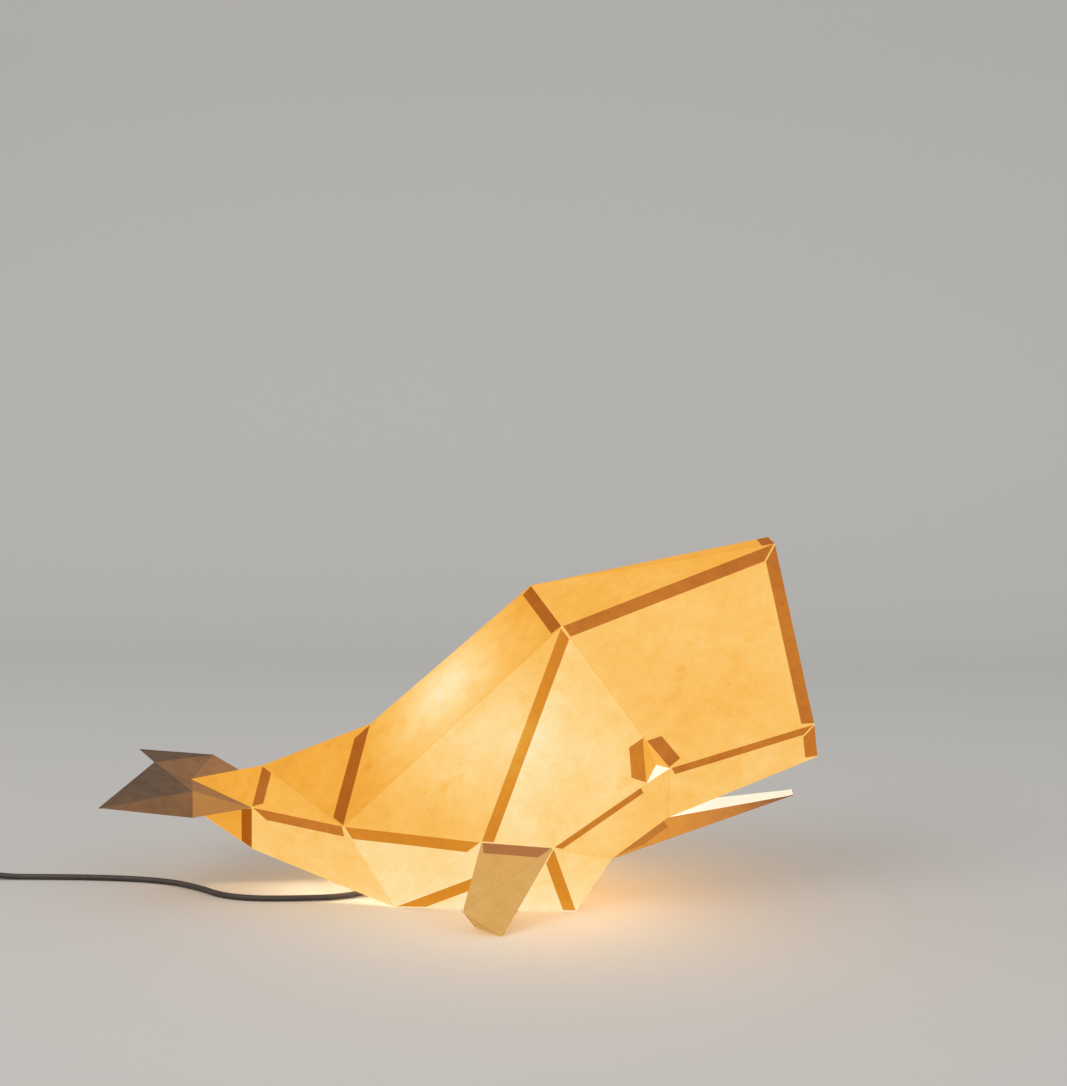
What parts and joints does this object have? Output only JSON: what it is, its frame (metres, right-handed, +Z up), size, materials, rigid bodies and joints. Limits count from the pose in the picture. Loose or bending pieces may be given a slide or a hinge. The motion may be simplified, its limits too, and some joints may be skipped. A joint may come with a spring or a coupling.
{
  "type": "folded paper table lamp",
  "caption": "Table lamp whose folded, many-sided paper whale shade stands over a small bulb unit with a foot, corded switch and plug.",
  "frame": {"origin": "centre of the bulb unit's underside, on the table, under the bulb", "axes": "+X from the tail towards the head, +Z up, +Y to the whale's left"},
  "size_m": [0.9521, 0.2995, 0.3326],
  "materials": {
    "paper": "matt folded parchment-like paper, warm where the bulb shines through",
    "foot_enamel": "satin black enamel",
    "steel": "satin",
    "felt": "pressed felt",
    "brass": "satin",
    "dark_rubber": "matt",
    "holder_plastic": "satin moulded",
    "contact_block": "unglazed",
    "bulb_cap_metal": "plated",
    "bulb_collar_plastic": "satin",
    "opal_glass": "opal, lit",
    "switch_plastic": "satin moulded",
    "rocker_plastic": "satin moulded",
    "cord_jacket": "soft sheathed cord",
    "tie_plastic": "matt",
    "plug_plastic": "moulded",
    "pin_metal": "nickel plated"
  },
  "bodies": {
    "light_unit": {"foot_weight": "foot_enamel", "foot_cover": "steel", "foot_pad": "felt", "stem": "brass", "stem_nuts": "steel", "cord_grip": "dark_rubber", "holder_cap": "holder_plastic", "holder_body": "holder_plastic", "holder_block": "contact_block", "holder_sleeve": "brass", "holder_contact": "brass", "switch_base": "switch_plastic", "switch_cover": "switch_plastic", "switch_pin": "steel", "cord_lamp": "cord_jacket", "cord_link": "cord_jacket", "cord_coil": "cord_jacket", "cord_plug": "cord_jacket", "coil_tie": "tie_plastic", "plug_body": "plug_plastic", "plug_pins": "pin_metal"},
    "shade": {"back_side_left": "paper", "back_side_right": "paper", "belly_front_left": "paper", "belly_front_right": "paper", "belly_rear_left": "paper", "belly_rear_right": "paper", "cheek_left": "paper", "cheek_right": "paper", "chin": "paper", "eye_left": "paper", "eye_right": "paper", "fin_left": "paper", "fin_right": "paper", "fluke_left": "paper", "fluke_right": "paper", "forehead": "paper", "head_side_left": "paper", "head_side_right": "paper", "head_top": "paper", "jaw": "paper", "palate": "paper", "stern_lower_left": "paper", "stern_lower_right": "paper", "stern_upper_left": "paper", "stern_upper_right": "paper", "tail_upper_left": "paper", "tail_upper_right": "paper"},
    "bulb": {"bulb_cap": "bulb_cap_metal", "bulb_collar": "bulb_collar_plastic", "bulb_globe": "opal_glass"},
    "rocker": {"switch_rocker": "rocker_plastic"}
  },
  "joints": [
    {"name": "shade_lift", "type": "slide", "parent": "light_unit", "child": "shade", "axis": [0, 0, 1], "range_m": [0, 0.16]},
    {"name": "bulb_out", "type": "slide", "parent": "light_unit", "child": "bulb", "axis": [0, 0, 1], "range_m": [0, 0.03]},
    {"name": "rocker_tilt", "type": "hinge", "parent": "light_unit", "child": "rocker", "pos_m": [-0.536, 0.005, 0.0125], "axis": [0, 1, 0], "range_deg": [0, 14]}
  ]
}
